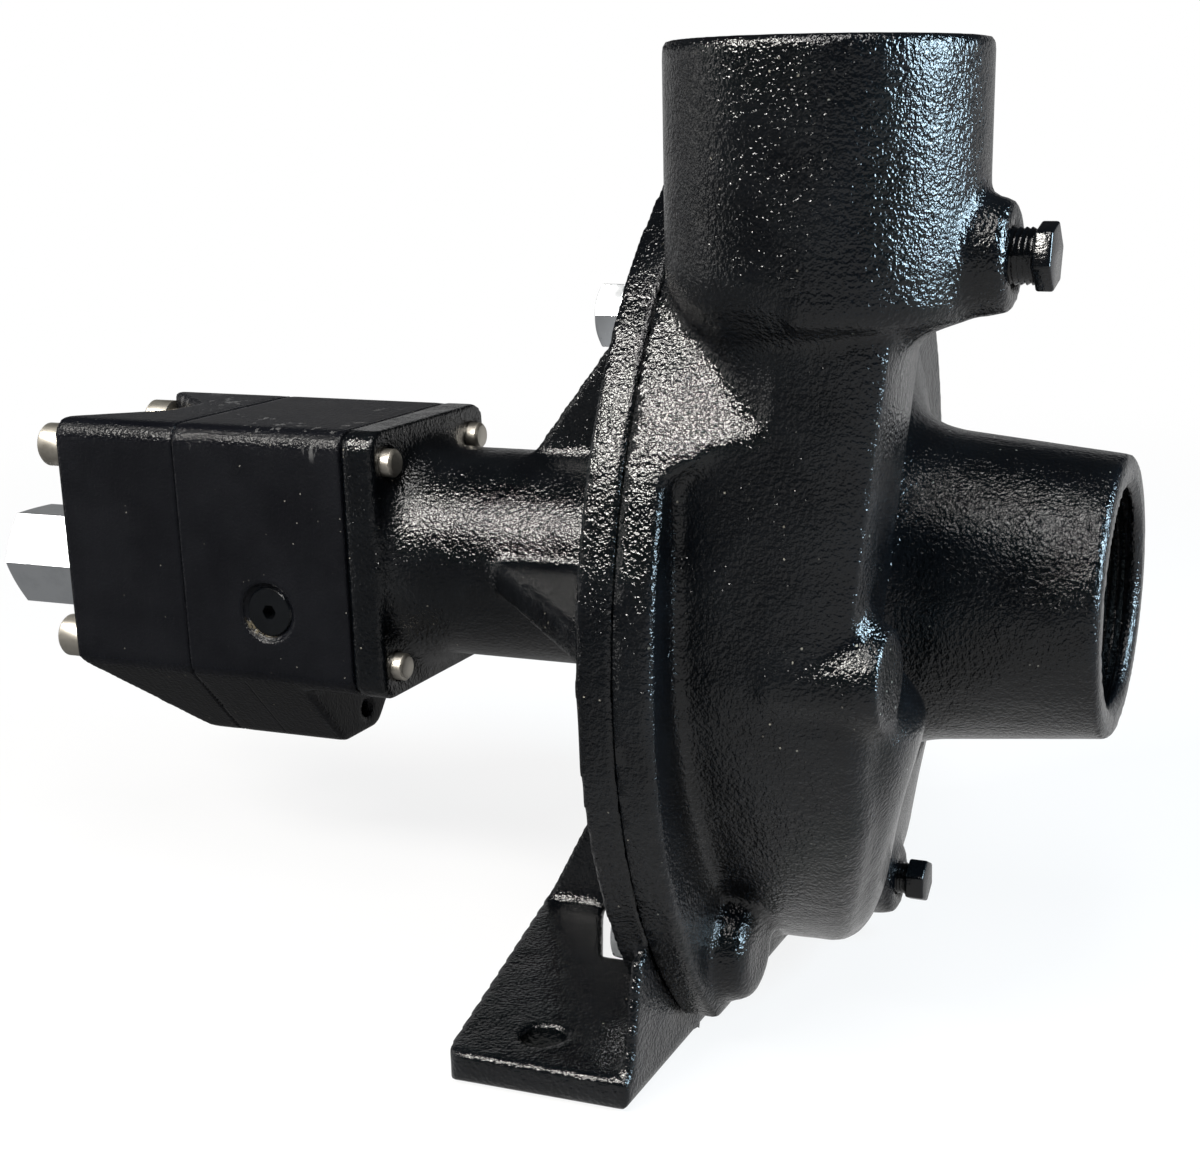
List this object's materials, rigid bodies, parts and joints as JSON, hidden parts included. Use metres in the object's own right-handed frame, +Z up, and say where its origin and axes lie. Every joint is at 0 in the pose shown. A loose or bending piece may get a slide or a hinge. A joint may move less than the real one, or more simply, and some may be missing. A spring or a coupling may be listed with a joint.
{
  "type": "hydraulic-driven centrifugal pump",
  "caption": "Black cast-iron centrifugal pump with a footed bracket, driven by a hydraulic gear motor; threaded suction in front, discharge on top.",
  "frame": {"origin": "midway between the two foot holes, on the underside of the foot", "axes": "+X along the shaft towards the suction, +Z up along the discharge, +Y away from the discharge's side"},
  "size_m": [0.351, 0.2592, 0.2418],
  "materials": {
    "cast_black": "gloss black paint over rough cast iron",
    "motor_black": "satin black paint over machined iron",
    "zinc": "bright zinc plating",
    "stainless": "dull stainless steel",
    "plug_black": "painted over with the casing",
    "ground_steel": "ground steel",
    "gear_steel": "hardened steel",
    "spring_steel": "stainless wire",
    "iron": "bare machined cast iron",
    "bronze": "bearing bronze",
    "brass": "turned brass",
    "ceramic": "white sintered ceramic",
    "carbon": "carbon face in a pressed shell",
    "rubber": "nitrile rubber",
    "cage": "moulded nylon"
  },
  "bodies": {
    "frame": {"volute_casing": "cast_black", "motor_bracket": "cast_black", "casing_seal_ring": "rubber", "wear_ring": "bronze", "seal_seat": "ceramic", "seal_seat_cup": "rubber", "casing_bolts": "zinc", "casing_lock_washers": "zinc", "vent_plug": "plug_black", "drain_plug": "plug_black", "rear_cover": "motor_black", "gear_housing": "motor_black", "front_cover": "motor_black", "rear_bushings": "bronze", "front_bushings": "bronze", "rear_thrust_plate": "bronze", "front_thrust_plate": "bronze", "shaft_lip_seal": "rubber", "bearing_outer_race": "ground_steel", "retaining_ring": "spring_steel", "rear_body_seal": "rubber", "front_body_seal": "rubber", "motor_screws": "stainless", "side_plug": "plug_black", "side_plug_seal": "rubber", "port_adapter": "zinc", "adapter_seal": "rubber", "check_spring": "spring_steel", "check_retainer": "spring_steel"},
    "rotor": {"motor_shaft": "ground_steel", "drive_gear": "gear_steel", "drive_key": "gear_steel", "impeller": "iron", "impeller_washer": "stainless", "impeller_nut": "stainless", "seal_head": "carbon", "seal_spring": "spring_steel", "slinger": "rubber", "bearing_inner_race": "ground_steel"},
    "idler": {"idler_gear": "gear_steel", "idler_shaft": "ground_steel"},
    "ball_row": {"bearing_balls": "ground_steel", "bearing_cage": "cage"},
    "poppet": {"check_poppet": "brass"}
  },
  "joints": [
    {"name": "rotor_spin", "type": "hinge", "parent": "frame", "child": "rotor", "pos_m": [0.0294, 0, 0.1048], "axis": [1, 0, 0], "continuous": true},
    {"name": "idler_spin", "type": "hinge", "parent": "frame", "child": "idler", "pos_m": [-0.1406, 0, 0.0748], "axis": [1, 0, 0], "continuous": true},
    {"name": "ball_row_spin", "type": "hinge", "parent": "frame", "child": "ball_row", "pos_m": [-0.0701, 0, 0.1048], "axis": [1, 0, 0], "continuous": true},
    {"name": "poppet_slide", "type": "slide", "parent": "frame", "child": "poppet", "axis": [-1, 0, 0], "range_m": [0, 0.004], "stiffness_N_per_m": 400, "springref_m": -0.002, "deforming": ["check_spring"]}
  ],
  "couplings": [
    {"joint": "idler_spin", "follows": "rotor_spin", "ratio": -1},
    {"joint": "ball_row_spin", "follows": "rotor_spin", "ratio": 0.4}
  ]
}
